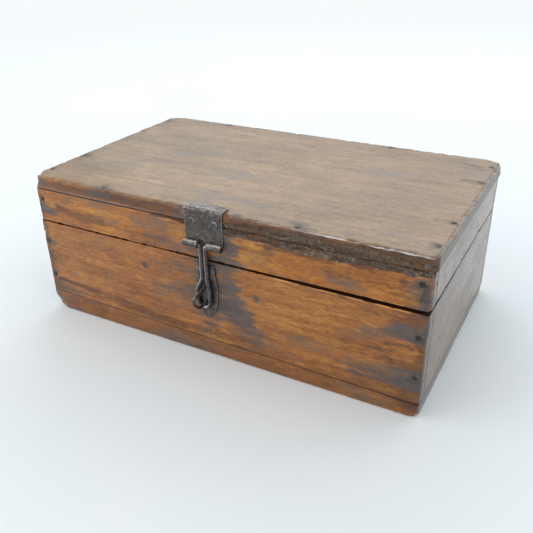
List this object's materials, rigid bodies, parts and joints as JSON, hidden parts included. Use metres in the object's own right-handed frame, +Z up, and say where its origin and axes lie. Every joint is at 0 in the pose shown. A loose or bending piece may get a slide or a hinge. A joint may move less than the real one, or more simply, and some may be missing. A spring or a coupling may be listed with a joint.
{
  "type": "small hinged wooden chest",
  "caption": "Small oblong hardwood chest of nailed boards with a flat hinged lid, a wrought hasp that swings from the lid's front and drops over a staple, and strap hinges behind.",
  "frame": {"origin": "centre of the bottom board's underside, where the chest stands", "axes": "+X along the chest's length to its right, -Y out of the front that carries the hasp, +Z up"},
  "size_m": [0.403, 0.2727, 0.1507],
  "materials": {
    "lid_top_wood": "old waxed teak-like hardwood, worn pale, dark iron stains round the nails",
    "lid_rail_wood": "old waxed hardwood, golden brown, chewed and dark along the upper edge",
    "box_wood": "old waxed hardwood, red brown with blue-black iron stains",
    "bottom_wood": "old waxed hardwood, red brown",
    "nail_iron": "rusted forged iron, almost black",
    "wrought_iron": "hammered wrought iron, dark grey-brown, rubbed bright on its edges"
  },
  "bodies": {
    "box": {"bottom_board": "bottom_wood", "box_front_board": "box_wood", "box_back_board": "box_wood", "box_left_board": "box_wood", "box_right_board": "box_wood", "box_corner_nails": "nail_iron", "bottom_nails": "nail_iron", "staple_plate": "wrought_iron", "staple_plate_nails": "wrought_iron", "hasp_staple": "wrought_iron", "left_hinge_box_leaf": "wrought_iron", "right_hinge_box_leaf": "wrought_iron", "hinge_box_nails": "wrought_iron", "left_hinge_pin": "wrought_iron", "right_hinge_pin": "wrought_iron"},
    "lid": {"lid_top_board": "lid_top_wood", "lid_front_rail": "lid_rail_wood", "lid_back_rail": "lid_rail_wood", "lid_left_rail": "lid_rail_wood", "lid_right_rail": "lid_rail_wood", "lid_top_nails": "nail_iron", "lid_corner_nails": "nail_iron", "hasp_plate": "wrought_iron", "hasp_plate_nails": "wrought_iron", "left_hinge_lid_leaf": "wrought_iron", "right_hinge_lid_leaf": "wrought_iron", "hinge_lid_nails": "wrought_iron"},
    "hasp": {"hasp_loop": "wrought_iron"}
  },
  "joints": [
    {"name": "lid_hinge", "type": "hinge", "parent": "box", "child": "lid", "pos_m": [0, 0.1242, 0.10115], "axis": [-1, 0, 0], "range_deg": [0, 180]},
    {"name": "hasp_swing", "type": "hinge", "parent": "lid", "child": "hasp", "pos_m": [0, -0.124, 0.1173], "axis": [-1, 0, 0], "range_deg": [0, 180]}
  ]
}
